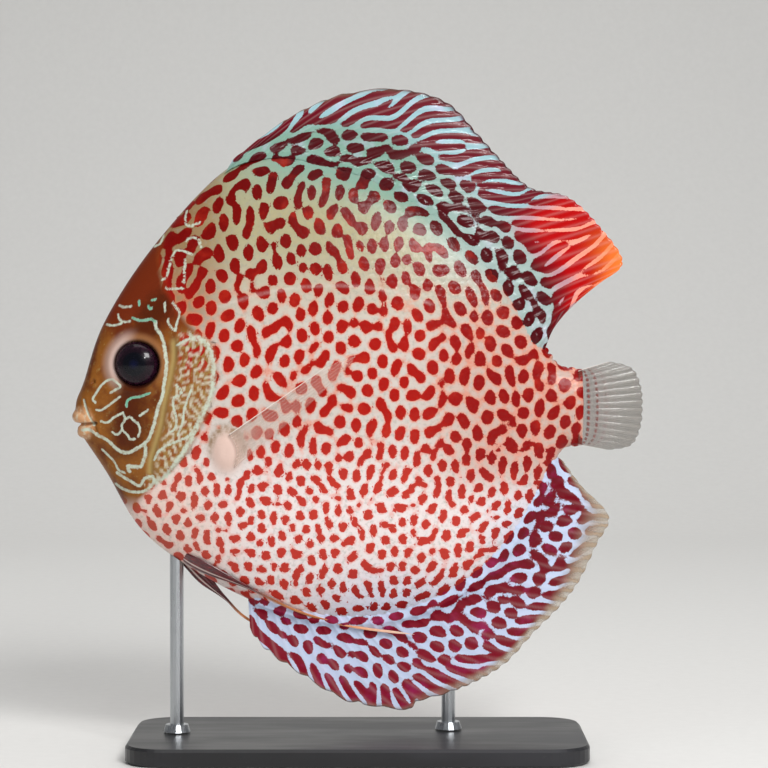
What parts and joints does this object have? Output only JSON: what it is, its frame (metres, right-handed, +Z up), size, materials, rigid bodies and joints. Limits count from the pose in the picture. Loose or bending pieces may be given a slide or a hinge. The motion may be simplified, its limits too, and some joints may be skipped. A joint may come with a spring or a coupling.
{
  "type": "discus fish model",
  "caption": "Life-size still model of a spotted discus fish: a thin round body with long dorsal and anal fins, held level by rods on a flat base.",
  "frame": {"origin": "on the floor under the middle of the whole, at the base's underside", "axes": "+Z up towards the back, -X towards the snout, -Y out of the left flank"},
  "size_m": [0.1257, 0.048, 0.146],
  "materials": {
    "face_skin": "wet skin, olive brown with pale lines",
    "flank_skin": "wet scaled skin, pale with red spots",
    "spotted_fin": "wet fin membrane, maroon cells on pale turquoise",
    "clear_fin": "wet clear fin membrane with fine rays",
    "eye": "wet, near black",
    "stand_base": "satin black",
    "stand_rod": "brushed"
  },
  "bodies": {
    "root": {"head": "face_skin", "torso": "flank_skin", "tail_base": "flank_skin", "gill_cover_left": "face_skin", "gill_cover_right": "face_skin", "eye_left": "eye", "eye_right": "eye", "dorsal_fin": "spotted_fin", "anal_fin": "spotted_fin", "caudal_fin": "clear_fin", "pectoral_fin_left": "clear_fin", "pectoral_fin_right": "clear_fin", "pelvic_fin_left": "spotted_fin", "pelvic_fin_right": "spotted_fin", "stand_base": "stand_base", "stand_rod_front": "stand_rod", "stand_rod_rear": "stand_rod"}
  },
  "joints": []
}
